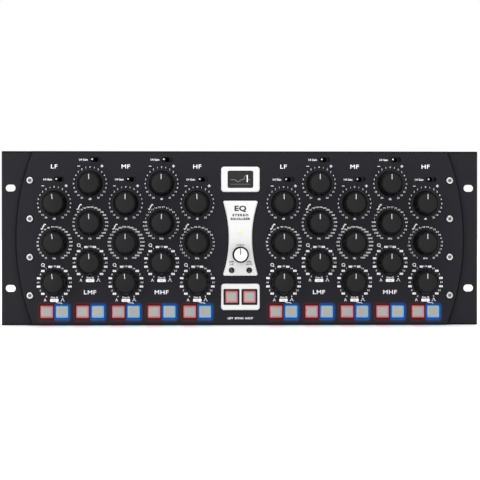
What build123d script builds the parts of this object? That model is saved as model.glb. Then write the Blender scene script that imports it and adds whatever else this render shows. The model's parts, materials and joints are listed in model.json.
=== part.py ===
"""Rack-mounted stereo parametric equalizer, four rack units high.

Frame: +X is the unit's width, the front panel faces -Y, +Z is up. The origin is the middle of the
footprint, on the surface the unit stands on. All sizes are in millimetres.
"""

import os
from math import radians, tan

from build123d import *

os.makedirs("parts", exist_ok=True)

# ---------------------------------------------------------------- overall
PANEL_W, PANEL_H = 482.6, 176.2  # 19-inch panel, four rack units less its clearance
EAR_T, RAISE = 4.0, 3.0  # ear plate, and the step up to the raised middle
PANEL_T = EAR_T + RAISE
KNOB_REACH = 16.5  # knob tops in front of the raised face
CASE_W, CASE_D = 440.0, 284.0
CASE_Z0, CASE_Z1 = 2.0, 174.0
SHEET, FLANGE = 1.5, 15.0
BEND_R, COVER_ROUND = 2.5, 1.0
PLUG_REACH = 4.0  # connector rims behind the rear panel

DEPTH = KNOB_REACH + PANEL_T + CASE_D + PLUG_REACH
FACE_Y = KNOB_REACH - DEPTH / 2  # raised face of the front panel
BACK_Y = FACE_Y + PANEL_T  # back of the front panel
REAR_Y = BACK_Y + CASE_D  # outside of the rear panel
MID_Z = PANEL_H / 2

# ---------------------------------------------------------------- front panel
ARC_R, ARC_APEX_X = 242.0, 227.5  # curved ends of the raised middle
SLOT_X, SLOT_Z, SLOT_L, SLOT_W = 465.1, 101.6, 10.3, 7.0  # rack slots: spacings and size
SCREW_X, SCREW_PITCH, SCREW_LIFT = 212.6, 38.8, 0.3  # front screws, four down each side
SCREW_HEAD_R, SCREW_HEAD_H, SCREW_HEX_AF, SCREW_HEX_DEEP = 3.4, 2.2, 3.4, 1.3
SCREW_SINK_R, SCREW_SINK = 4.0, 0.5  # shallow seats round their heads
SCREW_R, SCREW_HOLE_R, SCREW_HEAD_ROUND = 2.0, 2.2, 1.0
EDGE_BREAK, WINDOW_BREAK = 1.2, 0.35
CORNER_R = 1.0

# ---------------------------------------------------------------- knob grid
BANK_X = {"left": -115.9, "right": 115.9}
BANDS = ["lf", "lmf", "mf", "mhf", "hf"]
CONTROLS = ["gain", "freq", "q"]
COLUMN_PITCH, ROW_PITCH = 36.1, 40.0
TOP_ROW, STAGGER = 35.4, 20.0  # gain knobs above mid-height; every second column is higher
KNOB_BASE_R, KNOB_TOP_R, KNOB_GAP = 12.9, 10.7, 0.6
SKIRT_H, SKIRT_STEP, KNOB_ROUND = 1.6, 0.4, 1.2
KNOB_HOLLOW_R, KNOB_HOLLOW, KNOB_CROWN = 8.0, 4.0, 3.0  # hollow over the nut; stock over the shaft
POINTER_R0, POINTER_R1, POINTER_W, POINTER_DEEP = 3.9, 9.1, 0.8, 0.3
SHAFT_R, RUNNING_GAP, PRESS_GAP = 3.0, 0.05, 0.02
SHAFT_TAIL, BORE_TAIL = 3.0, 4.0  # behind the panel: shaft, and the bore it turns in
BUSHING_R, BUSHING_HOLE_R, BUSHING_REACH, THREAD_GAP = 4.5, 4.7, 3.0, 0.05
NUT_AF, NUT_T = 12.0, 2.0
POT_W, POT_H, POT_DROP = 17.0, 18.0, 1.5
DIAL_POT = (10.0, 11.0)
# how far some knobs stand turned from twelve o'clock, clockwise as the user sees them
STORED_TURN = {
    "left_lf": -8.0, "left_lmf": -2.0, "left_mf_q": -5.0, "left_hf_gain": -3.0,
    "left_mhf_freq": 2.0, "right_lf_gain": -2.0, "right_mhf_freq": -2.0, "right_hf_gain": 1.5,
}

# ---------------------------------------------------------------- gain range toggles
TOGGLE_DX, TOGGLE_DZ = 5.6, 24.2  # slot centre from its gain knob
TOGGLE_SLOT_L, TOGGLE_SLOT_W = 11.0, 5.0
TOGGLE_TILT = 13.0
TOGGLE_PIVOT, TOGGLE_PROUD = 3.0, 5.0  # pivot behind the panel's back, tip in front of its face
BALL_R, BALL_BORE_R, BORE_FLOOR = 2.0, 2.35, 1.0
LEVER_ROOT_R, LEVER_TIP_R, TAIL_L = 0.95, 1.2, 4.0
TOGGLE_BODY = (13.0, 8.0)

# ---------------------------------------------------------------- push buttons
BUTTON_Z, BUTTON_DX = -74.4, 7.7  # band buttons: height, and offset from the column
WINDOW, CAP, CAP_FACE, CAP_T, CAP_BEVEL = 14.4, 12.6, 8.6, 6.4, 0.7
CAP_CORNER, FACE_CORNER = 1.0, 0.5
CAP_PROUD = 0.8
STEM_W, STEM_L, WELL_W = 4.0, 8.2, 4.8
SWITCH_W, SWITCH_GAP = 13.0, 2.0
BYPASS_DX, BYPASS_Z = 9.1, -59.4

# ---------------------------------------------------------------- white centre pieces
PLATE_REACH, PLATE_SEAT, PLATE_GAP = 2.0, 1.0, 0.35  # proud of the face, let into it, joint line
PLATE_EDGE, PLATE_HOLE_EDGE = 0.8, 0.3
BADGE_W, BADGE_H, BADGE_Z, BADGE_R = 39.0, 25.5, 59.6, 3.0
BADGE_WINDOW_W, BADGE_WINDOW_H, BADGE_WINDOW_R = 26.0, 17.5, 1.8
CENTRE_H, CENTRE_HALF_W, CENTRE_WAIST, CENTRE_CORNER = 75.8, 18.0, 11.75, 1.6
FRAME_W, FRAME_H, FRAME_WINDOW, FRAME_CORNER = 39.1, 26.6, 16.0, 0.6
LED_Z, LED_HOLE_R = 5.7, 1.6
DIAL_Z, DIAL_R, DIAL_H = -16.5, 8.2, 12.0  # centre knob
DIAL_GAP, DIAL_ROUND, DIAL_RECESS_R, DIAL_RECESS = 0.5, 0.6, 6.7, 0.4
DIAL_HOLLOW_R, DIAL_HOLLOW, DIAL_CROWN, DIAL_OPENING_R = 6.4, 3.0, 2.5, 7.0
DIAL_SHAFT_R, DIAL_BUSHING_R, DIAL_HOLE_R, DIAL_NUT_AF = 2.0, 3.5, 3.7, 10.0
LINK_DX, LINK_Z, LINK_BUSHING_R, LINK_HOLE_R = 8.9, -32.4, 2.8, 2.9  # two small toggles below it
LINK_BUSHING_SINK = 0.3
LINK_PIVOT, LINK_PROUD, LINK_TILT = 0.5, 5.5, 13.0  # from the face; tip in front of the plate

# ---------------------------------------------------------------- inside
BOARD_SET, BOARD_T, BOARD_HOLE_R = 10.0, 1.6, 1.7  # control board behind the panel's back
CONTROL_BOARD_W, CONTROL_BOARD_H = 406.0, 164.0
CONTROL_BOARD_HOLES = [(sx * 198.0, z) for sx in (-1, 1) for z in (72.0, -61.0)]
CHIP_W, CHIP_L, CHIP_T, CHIP_ROW_PITCH, CHIP_ROWS = 10.0, 6.5, 2.0, 34.0, 4
MAIN_BOARD_Z, MAIN_BOARD_X, MAIN_BOARD_W = 13.0, -60.0, 280.0
MAIN_BOARD_FRONT, MAIN_BOARD_REAR = 30.0, 40.0  # clear of the control board and the rear panel
MAIN_HOLE_DX, MAIN_HOLE_INSET = 130.0, 8.0
RELAY_W, RELAY_L, RELAY_H, RELAY_PITCH = 14.0, 9.0, 8.0, (22.0, 26.0)
RELAY_SET, CAPACITOR_SET = 60.0, 50.0  # from the board's front and rear edges
CAPACITOR_R, CAPACITOR_H, CAPACITOR_PITCH = 6.3, 22.0, (26.0, 24.0)
POWER_BOARD_X, POWER_BOARD_SET, POWER_BOARD_W, POWER_BOARD_L = 150.0, 55.0, 100.0, 80.0
POWER_HOLE_DX, POWER_HOLE_DY = 44.0, 34.0
RESERVOIR_SET, RESERVOIR_R, RESERVOIR_H, RESERVOIR_PITCH = 45.0, 12.5, 40.0, 30.0
SINK_SET, SINK_W, SINK_T, SINK_H = 85.0, 68.0, 3.0, 30.0
FIN_PITCH, FIN_T, FIN_L, FINS = 6.0, 2.0, 12.0, 12
TOROID_X, TOROID_Y, TOROID_R, TOROID_BORE_R, TOROID_H, TOROID_ROUND = 145.0, 60.0, 50.0, 16.0, 44.0, 6.0
PAD_R, PAD_T, WASHER_R, WASHER_T = 42.0, 2.0, 38.0, 2.5
BOLT_R, BOLT_HOLE_R, BOLT_PASS_R, BOLT_NUT_AF, BOLT_NUT_T = 4.0, 4.2, 4.5, 13.0, 5.5

# ---------------------------------------------------------------- case
FOOT_X, FOOT_DY, FOOT_R, FOOT_POCKET_R = 190.0, 110.0, 11.0, 9.5
COVER_SCREWS, COVER_SCREW_DROP, LIP_GAP, LIP_H, LIP_SHORT = 4, 7.0, 0.1, 14.0, 1.0
VENT_X, VENT_Y, VENT_L, VENT_W = (-110.0, 130.0), 20.0, 52.0, 3.2  # two fields of cooling slots
VENT_PITCH, VENT_ROW_PITCH, VENTS, VENT_ROWS = 12.0, 62.0, 13, 3
REAR_SCREW_X, REAR_SCREW_PITCH = 212.0, 70.0
SMALL_R, SMALL_TAP_R, SMALL_HOLE_R = 1.5, 1.55, 1.6  # small machine screws and their holes
SMALL_HEAD_R, SMALL_HEAD_H, SMALL_L = 2.8, 1.8, 6.0
STANDOFF_R = 3.0

# ---------------------------------------------------------------- rear
XLR_X = {"in_left": -60.0, "in_right": -98.0, "out_left": -146.0, "out_right": -184.0}
XLR_Z, XLR_FLANGE_W, XLR_FLANGE_H, XLR_FLANGE_T = 112.0, 26.0, 31.0, 2.0
XLR_BODY_R, XLR_HOLE_R, XLR_RIM_R, XLR_DEPTH, XLR_CUP_R, XLR_CUP_DEEP = 11.8, 12.0, 11.4, 24.0, 9.4, 15.0
PIN_R, PIN_PCD_R, PIN_ROOT = 1.2, 3.8, 2.0
XLR_CORNER, XLR_RING, CONTACT_R = 2.5, 1.6, 1.5  # flange corners, ring round a socket's insert
XLR_SCREWS = [(-9.5, -12.0), (9.5, 12.0)]
XLR_HEAD_R, XLR_HEAD_H, XLR_SCREW_L = 2.7, 1.4, 8.0
TIP_SINK = 3.0  # pins and blades end this far inside their openings
MAINS_X, MAINS_Z, MAINS_W, MAINS_H, MAINS_FLANGE_T, MAINS_DEPTH = 180.0, 96.0, 31.0, 66.0, 2.5, 24.0
MAINS_CORNER, MAINS_SIDE, MAINS_END, MAINS_EASE = 2.5, 2.0, 5.5, 0.5
MAINS_SCREW_DZ, MAINS_HEAD_R, MAINS_HEAD_H = 30.2, 2.6, 1.2
FUSE_DZ, FUSE_W, FUSE_H, FUSE_T, FUSE_CORNER = 2.8, 22.0, 9.0, 0.8, 0.8
INLET_DZ, INLET_W, INLET_H, INLET_DEEP, INLET_CUT = -16.0, 24.6, 16.6, 17.0, 4.5
BLADE_W, BLADE_H, BLADE_DX, BLADE_DZ = 2.0, 4.0, 7.0, 2.0
ROCKER_DZ, ROCKER_R, ROCKER_LEN, ROCKER_TILT, ROCKER_SINK = 20.0, 6.3, 19.6, 10.0, 2.4
POCKET_GAP, POCKET_DEEP, ROCKER_PIN_R, PIN_INSET = 0.4, 9.5, 1.0, 1.0
ROCKER_DISH, ROCKER_BACK, ROCKER_HALF = 2.0, -4.0, 7.0  # crests stand above the dished middle


def face_plane(x, z, out=0.0):
    """Plane at a spot on the raised face: local X is +X, local Y is +Z, normal to the user."""
    return Plane(origin=(x, FACE_Y - out, MID_Z + z), x_dir=(1, 0, 0), z_dir=(0, -1, 0))


def rear_plane(x, z, out=0.0):
    """Plane on the rear panel's outside, its normal pointing away from the unit, local Y up."""
    return Plane(origin=(x, REAR_Y + out, z), x_dir=(-1, 0, 0), z_dir=(0, 1, 0))


def save(piece, label):
    """Name a finished sub-part and write it."""
    piece.part.label = label
    export_step(piece.part, f"parts/{label}.step")


def stored_turn(bank, band, control):
    """Turn of a knob from twelve o'clock, clockwise to the user, in degrees."""
    column = STORED_TURN.get(f"{bank}_{band}", 0.0)
    return STORED_TURN.get(f"{bank}_{band}_{control}", column)


columns = {
    (bank, band): BANK_X[bank] + COLUMN_PITCH * (i - 2)
    for bank in BANK_X
    for i, band in enumerate(BANDS)
}
gain_rows = {band: TOP_ROW + STAGGER * (i % 2) for i, band in enumerate(BANDS)}
knob_spots = {
    (bank, band, control): (x, gain_rows[band] - ROW_PITCH * row)
    for (bank, band), x in columns.items()
    for row, control in enumerate(CONTROLS)
}
toggle_spots = {
    (bank, band): (x + TOGGLE_DX, gain_rows[band] + TOGGLE_DZ) for (bank, band), x in columns.items()
}
red_spots = [(x - BUTTON_DX, BUTTON_Z) for x in columns.values()]
blue_spots = [(x + BUTTON_DX, BUTTON_Z) for x in columns.values()]
bypass_spots = {"left": (-BYPASS_DX, BYPASS_Z), "right": (BYPASS_DX, BYPASS_Z)}
link_spots = {"left": (-LINK_DX, LINK_Z), "right": (LINK_DX, LINK_Z)}
button_spots = red_spots + blue_spots + list(bypass_spots.values())
screw_spots = [
    (side * SCREW_X, SCREW_LIFT + SCREW_PITCH * (row - 1.5)) for side in (-1, 1) for row in range(4)
]
slot_spots = [(sx * SLOT_X / 2, sz * SLOT_Z / 2) for sx in (-1, 1) for sz in (-1, 1)]


def centre_outline(grow=0.0):
    """Waisted outline of the centre plate, as a sketch face on XY, optionally grown all round."""
    half_h = CENTRE_H / 2
    with BuildSketch() as outline:
        with BuildLine():
            Line((-CENTRE_HALF_W, half_h), (CENTRE_HALF_W, half_h))
            ThreePointArc((CENTRE_HALF_W, half_h), (CENTRE_WAIST, 0), (CENTRE_HALF_W, -half_h))
            Line((CENTRE_HALF_W, -half_h), (-CENTRE_HALF_W, -half_h))
            ThreePointArc((-CENTRE_HALF_W, -half_h), (-CENTRE_WAIST, 0), (-CENTRE_HALF_W, half_h))
        make_face()
        fillet(outline.vertices(), CENTRE_CORNER)
        if grow:
            offset(amount=grow, kind=Kind.INTERSECTION)
    return outline.sketch


# ================================================================ front panel
with BuildPart() as front_panel:
    with BuildSketch(face_plane(0, 0, -RAISE)):
        RectangleRounded(PANEL_W, PANEL_H, CORNER_R)
    extrude(amount=-EAR_T)
    arc_centre = ARC_APEX_X - ARC_R
    arc_end = arc_centre + (ARC_R**2 - (PANEL_H / 2) ** 2) ** 0.5
    with BuildSketch(face_plane(0, 0, -RAISE)):
        with BuildLine():
            Line((-arc_end, MID_Z), (arc_end, MID_Z))
            ThreePointArc((arc_end, MID_Z), (ARC_APEX_X, 0), (arc_end, -MID_Z))
            Line((arc_end, -MID_Z), (-arc_end, -MID_Z))
            ThreePointArc((-arc_end, -MID_Z), (-ARC_APEX_X, 0), (-arc_end, MID_Z))
        make_face()
    extrude(amount=RAISE)
    chamfer(front_panel.faces().sort_by(Axis.Y)[0].edges(), EDGE_BREAK)
    # seats of the three white pieces
    with BuildSketch(face_plane(0, BADGE_Z)):
        RectangleRounded(BADGE_W + 2 * PLATE_GAP, BADGE_H + 2 * PLATE_GAP, BADGE_R)
    extrude(amount=-PLATE_SEAT, mode=Mode.SUBTRACT)
    with BuildSketch(face_plane(0, BYPASS_Z)):
        RectangleRounded(FRAME_W + 2 * PLATE_GAP, FRAME_H + 2 * PLATE_GAP, BADGE_R)
    extrude(amount=-PLATE_SEAT, mode=Mode.SUBTRACT)
    with BuildSketch(face_plane(0, 0)):
        add(centre_outline(PLATE_GAP))
    extrude(amount=-PLATE_SEAT, mode=Mode.SUBTRACT)
    # rack slots, screw holes, shaft holes, toggle slots, button windows
    with BuildSketch(face_plane(0, 0)):
        with Locations(*slot_spots):
            SlotOverall(SLOT_L, SLOT_W)
        with Locations(*screw_spots):
            Circle(SCREW_HOLE_R)
        with Locations(*knob_spots.values()):
            Circle(BUSHING_HOLE_R)
        with Locations(*toggle_spots.values()):
            SlotOverall(TOGGLE_SLOT_L, TOGGLE_SLOT_W)
        with Locations(*button_spots):
            RectangleRounded(WINDOW, WINDOW, CAP_CORNER)
        with Locations((0, DIAL_Z)):
            Circle(DIAL_HOLE_R)
        with Locations((0, LED_Z)):
            Circle(LED_HOLE_R)
        with Locations(*link_spots.values()):
            Circle(LINK_HOLE_R)
    extrude(amount=-PANEL_T, mode=Mode.SUBTRACT)
    # broken edges of the band buttons' windows, and shallow seats for the screw heads
    openings = front_panel.faces().sort_by(Axis.Y)[0].inner_wires()
    row_low, row_high = MID_Z + BUTTON_Z - WINDOW / 2, MID_Z + BUTTON_Z + WINDOW / 2
    rims = ShapeList([edge for wire in openings for edge in wire.edges()])
    chamfer(rims.filter_by_position(Axis.Z, row_low - 0.1, row_high + 0.1), WINDOW_BREAK)
    with BuildSketch(face_plane(0, 0)):
        with Locations(*screw_spots):
            Circle(SCREW_SINK_R)
    extrude(amount=-SCREW_SINK, mode=Mode.SUBTRACT)
save(front_panel, "front_panel")

# ================================================================ white pieces on the panel
plate_t = PLATE_REACH + PLATE_SEAT
with BuildPart() as trim_plates:
    with BuildSketch(face_plane(0, BADGE_Z, -PLATE_SEAT)):
        RectangleRounded(BADGE_W, BADGE_H, BADGE_R)
    extrude(amount=plate_t)
    with BuildSketch(face_plane(0, BYPASS_Z, -PLATE_SEAT)):
        RectangleRounded(FRAME_W, FRAME_H, BADGE_R)
    extrude(amount=plate_t)
    with BuildSketch(face_plane(0, 0, -PLATE_SEAT)):
        add(centre_outline())
    extrude(amount=plate_t)
    with BuildSketch(face_plane(0, 0, PLATE_REACH)):
        with Locations((0, BADGE_Z)):
            RectangleRounded(BADGE_WINDOW_W, BADGE_WINDOW_H, BADGE_WINDOW_R)
        with Locations(*bypass_spots.values()):
            RectangleRounded(FRAME_WINDOW, FRAME_WINDOW, FRAME_CORNER)
        with Locations((0, DIAL_Z)):
            Circle(DIAL_OPENING_R)
        with Locations((0, LED_Z)):
            Circle(LED_HOLE_R)
        with Locations(*link_spots.values()):
            Circle(LINK_HOLE_R)
    extrude(amount=-plate_t, mode=Mode.SUBTRACT)
    fronts = trim_plates.faces().group_by(Axis.Y)[0]
    chamfer([edge for front in fronts for edge in front.outer_wire().edges()], PLATE_EDGE)
    fronts = trim_plates.faces().group_by(Axis.Y)[0]
    holes = [hole for front in fronts for hole in front.inner_wires()]
    chamfer([edge for hole in holes for edge in hole.edges()], PLATE_HOLE_EDGE)
save(trim_plates, "trim_plates")

# ================================================================ the thirty large knobs
for (bank, band, control), (knob_x, knob_z) in knob_spots.items():
    seat = face_plane(knob_x, knob_z, KNOB_GAP)
    knob_h = KNOB_REACH - KNOB_GAP
    with BuildPart() as knob:
        with BuildSketch(seat):
            Circle(KNOB_BASE_R)
        extrude(amount=SKIRT_H)
        with BuildSketch(seat.offset(SKIRT_H)):
            Circle(KNOB_BASE_R - SKIRT_STEP)
        with BuildSketch(seat.offset(knob_h)):
            Circle(KNOB_TOP_R)
        loft()
        fillet(knob.edges().group_by(Axis.Y)[0], KNOB_ROUND)
        # hollow over the nut, and the shaft's blind socket
        with BuildSketch(seat):
            Circle(KNOB_HOLLOW_R)
        extrude(amount=KNOB_HOLLOW, mode=Mode.SUBTRACT)
        with BuildSketch(seat):
            Circle(SHAFT_R + PRESS_GAP)
        extrude(amount=knob_h - KNOB_CROWN, mode=Mode.SUBTRACT)
        # engraved pointer
        pointer = seat.offset(knob_h).rotated((0, stored_turn(bank, band, control), 0))
        with BuildSketch(pointer):
            with Locations((0, (POINTER_R0 + POINTER_R1) / 2)):
                Rectangle(POINTER_W, POINTER_R1 - POINTER_R0)
        extrude(amount=-POINTER_DEEP, mode=Mode.SUBTRACT)
        # the potentiometer's shaft, from the socket back into its body
        shaft_end = knob_h - KNOB_CROWN - PRESS_GAP
        with BuildSketch(seat.offset(shaft_end)):
            Circle(SHAFT_R)
        extrude(amount=-(shaft_end + KNOB_GAP + PANEL_T + SHAFT_TAIL))
    save(knob, f"{bank}_{band}_{control}_knob")

# ================================================================ centre knob
with BuildPart() as interval_knob:
    dial_seat = face_plane(0, DIAL_Z, PLATE_REACH + DIAL_GAP)
    with BuildSketch(dial_seat):
        Circle(DIAL_R)
    extrude(amount=DIAL_H)
    fillet(interval_knob.edges().group_by(Axis.Y)[0], DIAL_ROUND)
    with BuildSketch(dial_seat.offset(DIAL_H)):
        Circle(DIAL_RECESS_R)
    extrude(amount=-DIAL_RECESS, mode=Mode.SUBTRACT)
    with BuildSketch(dial_seat):
        Circle(DIAL_HOLLOW_R)
    extrude(amount=DIAL_HOLLOW, mode=Mode.SUBTRACT)
    with BuildSketch(dial_seat):
        Circle(DIAL_SHAFT_R + PRESS_GAP)
    extrude(amount=DIAL_H - DIAL_CROWN, mode=Mode.SUBTRACT)
    dial_shaft_end = DIAL_H - DIAL_CROWN - PRESS_GAP
    with BuildSketch(dial_seat.offset(dial_shaft_end)):
        Circle(DIAL_SHAFT_R)
    extrude(amount=-(dial_shaft_end + DIAL_GAP + PLATE_REACH + PANEL_T + SHAFT_TAIL))
save(interval_knob, "interval_knob")


# ================================================================ toggle levers
def toggle_lever(spot, pivot_out, reach, tilt, label):
    """Ball-pivoted lever pointing at the user, its rest tilt given about the +X, +Y, +Z axes."""
    pivot = face_plane(*spot, pivot_out).rotated(tilt)
    with BuildPart() as lever:
        with Locations(pivot):
            Sphere(BALL_R)
        with BuildSketch(pivot):
            Circle(LEVER_ROOT_R)
        with BuildSketch(pivot.offset(reach - LEVER_TIP_R)):
            Circle(LEVER_TIP_R)
        loft()
        with Locations(pivot.offset(reach - LEVER_TIP_R)):
            Sphere(LEVER_TIP_R)
        with BuildSketch(pivot):
            Circle(LEVER_ROOT_R)
        extrude(amount=-TAIL_L)
    save(lever, label)


gain_pivot_out = -(PANEL_T + TOGGLE_PIVOT)
gain_reach = PANEL_T + TOGGLE_PIVOT + TOGGLE_PROUD
for (bank, band), spot in toggle_spots.items():
    toggle_lever(spot, gain_pivot_out, gain_reach, (0, 0, -TOGGLE_TILT), f"{bank}_{band}_gain_toggle")
link_pivot_out = LINK_PIVOT
link_reach = PLATE_REACH - LINK_PIVOT + LINK_PROUD
for side, spot in link_spots.items():
    toggle_lever(spot, link_pivot_out, link_reach, (LINK_TILT, 0, 0), f"{side}_link_toggle")


# ================================================================ push-button caps
def button_caps(spots, label):
    """Square bevelled caps with their stems, one solid each."""
    with BuildPart() as caps:
        for spot in spots:
            with BuildSketch(face_plane(*spot, CAP_PROUD - CAP_T)):
                RectangleRounded(CAP, CAP, CAP_CORNER)
            extrude(amount=CAP_T - CAP_BEVEL)
            with BuildSketch(face_plane(*spot, CAP_PROUD - CAP_BEVEL)):
                RectangleRounded(CAP, CAP, CAP_CORNER)
            with BuildSketch(face_plane(*spot, CAP_PROUD)):
                RectangleRounded(CAP_FACE, CAP_FACE, FACE_CORNER)
            loft()
            with BuildSketch(face_plane(*spot, CAP_PROUD - CAP_T)):
                Rectangle(STEM_W, STEM_W)
            extrude(amount=-STEM_L)
    save(caps, label)


button_caps(red_spots, "red_band_buttons")
button_caps(blue_spots, "blue_band_buttons")
for side, spot in bypass_spots.items():
    button_caps([spot], f"{side}_bypass_button")

# ================================================================ potentiometer bodies and nuts
with BuildPart() as potentiometers:
    with BuildSketch(face_plane(0, 0, -PANEL_T)):
        with Locations(*[(x, z - POT_DROP) for x, z in knob_spots.values()]):
            Rectangle(POT_W, POT_H)
    extrude(amount=-BOARD_SET)
    with BuildSketch(face_plane(0, DIAL_Z, -PANEL_T)):
        Rectangle(*DIAL_POT)
    extrude(amount=-BOARD_SET)
    with BuildSketch(face_plane(0, 0, -PANEL_T)):
        with Locations(*knob_spots.values()):
            Circle(BUSHING_R)
    extrude(amount=PANEL_T + BUSHING_REACH)
    with BuildSketch(face_plane(0, DIAL_Z, -PANEL_T)):
        Circle(DIAL_BUSHING_R)
    extrude(amount=PANEL_T + BUSHING_REACH)
    # bores that the shafts turn in
    with BuildSketch(face_plane(0, 0, BUSHING_REACH)):
        with Locations(*knob_spots.values()):
            Circle(SHAFT_R + RUNNING_GAP)
    extrude(amount=-(BUSHING_REACH + PANEL_T + BORE_TAIL), mode=Mode.SUBTRACT)
    with BuildSketch(face_plane(0, DIAL_Z, BUSHING_REACH)):
        Circle(DIAL_SHAFT_R + RUNNING_GAP)
    extrude(amount=-(BUSHING_REACH + PANEL_T + BORE_TAIL), mode=Mode.SUBTRACT)
    # hexagon nuts on the raised face, the centre one on the seat's floor
    with BuildSketch(face_plane(0, 0)):
        with Locations(*knob_spots.values()):
            RegularPolygon(NUT_AF / 2, 6, major_radius=False)
            Circle(BUSHING_R + THREAD_GAP, mode=Mode.SUBTRACT)
    extrude(amount=NUT_T)
    with BuildSketch(face_plane(0, DIAL_Z, -PLATE_SEAT)):
        RegularPolygon(DIAL_NUT_AF / 2, 6, major_radius=False)
        Circle(DIAL_BUSHING_R + THREAD_GAP, mode=Mode.SUBTRACT)
    extrude(amount=NUT_T)
save(potentiometers, "potentiometers")

# ================================================================ switch bodies
with BuildPart() as switch_bodies:
    # push switches with square wells for the stems
    with BuildSketch(face_plane(0, 0, -PANEL_T - SWITCH_GAP)):
        with Locations(*button_spots):
            Rectangle(SWITCH_W, SWITCH_W)
            Rectangle(WELL_W, WELL_W, mode=Mode.SUBTRACT)
    extrude(amount=-(BOARD_SET - SWITCH_GAP))
    # toggle bodies; the link toggles also have a bushing through the panel
    with BuildSketch(face_plane(0, 0, -PANEL_T)):
        with Locations(*toggle_spots.values()):
            Rectangle(*TOGGLE_BODY)
        with Locations(*link_spots.values()):
            Rectangle(TOGGLE_BODY[1], TOGGLE_BODY[0])
    extrude(amount=-BOARD_SET)
    with BuildSketch(face_plane(0, 0, -PANEL_T)):
        with Locations(*link_spots.values()):
            Circle(LINK_BUSHING_R)
    extrude(amount=PANEL_T + PLATE_REACH - LINK_BUSHING_SINK)
    with BuildSketch(face_plane(0, 0, PLATE_REACH)):
        with Locations(*link_spots.values()):
            Circle(BALL_BORE_R)
    extrude(amount=-(PLATE_REACH + PANEL_T + BORE_FLOOR), mode=Mode.SUBTRACT)
    with BuildSketch(face_plane(0, 0, -PANEL_T)):
        with Locations(*toggle_spots.values()):
            Circle(BALL_BORE_R)
    extrude(amount=-(BOARD_SET - BORE_FLOOR), mode=Mode.SUBTRACT)
save(switch_bodies, "switch_bodies")

# ================================================================ circuit boards
board_y = BACK_Y + BOARD_SET
main_y0, main_y1 = board_y + MAIN_BOARD_FRONT, REAR_Y - MAIN_BOARD_REAR
main_y, main_l = (main_y0 + main_y1) / 2, main_y1 - main_y0
board_plane, board_top = Plane.XY.offset(MAIN_BOARD_Z), Plane.XY.offset(MAIN_BOARD_Z + BOARD_T)
with BuildPart() as circuit_boards:
    # control board standing behind the switches
    with BuildSketch(face_plane(0, 0, -PANEL_T - BOARD_SET)):
        Rectangle(CONTROL_BOARD_W, CONTROL_BOARD_H)
        with Locations(*CONTROL_BOARD_HOLES):
            Circle(BOARD_HOLE_R, mode=Mode.SUBTRACT)
    extrude(amount=-BOARD_T)
    with BuildSketch(face_plane(0, 0, -PANEL_T - BOARD_SET - BOARD_T)):
        with GridLocations(COLUMN_PITCH, CHIP_ROW_PITCH, len(columns), CHIP_ROWS):
            Rectangle(CHIP_W, CHIP_L)
    extrude(amount=-CHIP_T)
    # audio board lying on standoffs, with relays and capacitors
    with BuildSketch(board_plane):
        with Locations((MAIN_BOARD_X, main_y)):
            Rectangle(MAIN_BOARD_W, main_l)
            with GridLocations(2 * MAIN_HOLE_DX, main_l - 2 * MAIN_HOLE_INSET, 2, 2):
                Circle(BOARD_HOLE_R, mode=Mode.SUBTRACT)
    extrude(amount=BOARD_T)
    with BuildSketch(board_top):
        with Locations((MAIN_BOARD_X, main_y0 + RELAY_SET)):
            with GridLocations(*RELAY_PITCH, 10, 3):
                Rectangle(RELAY_W, RELAY_L)
    extrude(amount=RELAY_H)
    with BuildSketch(board_top):
        with Locations((MAIN_BOARD_X, main_y1 - CAPACITOR_SET)):
            with GridLocations(*CAPACITOR_PITCH, 8, 2):
                Circle(CAPACITOR_R)
    extrude(amount=CAPACITOR_H)
    # power board beside the transformer, with reservoir capacitors and a finned heat sink
    with BuildSketch(board_plane):
        with Locations((POWER_BOARD_X, board_y + POWER_BOARD_SET)):
            Rectangle(POWER_BOARD_W, POWER_BOARD_L)
            with GridLocations(2 * POWER_HOLE_DX, 2 * POWER_HOLE_DY, 2, 2):
                Circle(BOARD_HOLE_R, mode=Mode.SUBTRACT)
    extrude(amount=BOARD_T)
    with BuildSketch(board_top):
        with Locations((POWER_BOARD_X, board_y + RESERVOIR_SET)):
            with GridLocations(RESERVOIR_PITCH, RESERVOIR_PITCH, 3, 2):
                Circle(RESERVOIR_R)
    extrude(amount=RESERVOIR_H)
    with BuildSketch(board_top):
        with Locations((POWER_BOARD_X, board_y + SINK_SET)):
            with GridLocations(FIN_PITCH, 1.0, FINS, 1):
                Rectangle(FIN_T, FIN_L)
            Rectangle(SINK_W, SINK_T)
    extrude(amount=SINK_H)
save(circuit_boards, "circuit_boards")

# ================================================================ toroidal transformer
tray_floor = CASE_Z0 + SHEET
with BuildPart() as toroidal_transformer:
    with BuildSketch(Plane.XY.offset(tray_floor + PAD_T)):
        with Locations((TOROID_X, TOROID_Y)):
            Circle(TOROID_R)
            Circle(TOROID_BORE_R, mode=Mode.SUBTRACT)
    extrude(amount=TOROID_H)
    fillet(toroidal_transformer.edges().filter_by(GeomType.CIRCLE), TOROID_ROUND)
    # rubber pad below, pressed washer plate on top
    with BuildSketch(Plane.XY.offset(tray_floor)):
        with Locations((TOROID_X, TOROID_Y)):
            Circle(PAD_R)
            Circle(BOLT_PASS_R, mode=Mode.SUBTRACT)
    extrude(amount=PAD_T)
    with BuildSketch(Plane.XY.offset(tray_floor + PAD_T + TOROID_H)):
        with Locations((TOROID_X, TOROID_Y)):
            Circle(WASHER_R)
            Circle(BOLT_PASS_R, mode=Mode.SUBTRACT)
    extrude(amount=WASHER_T)
save(toroidal_transformer, "toroidal_transformer")

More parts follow.
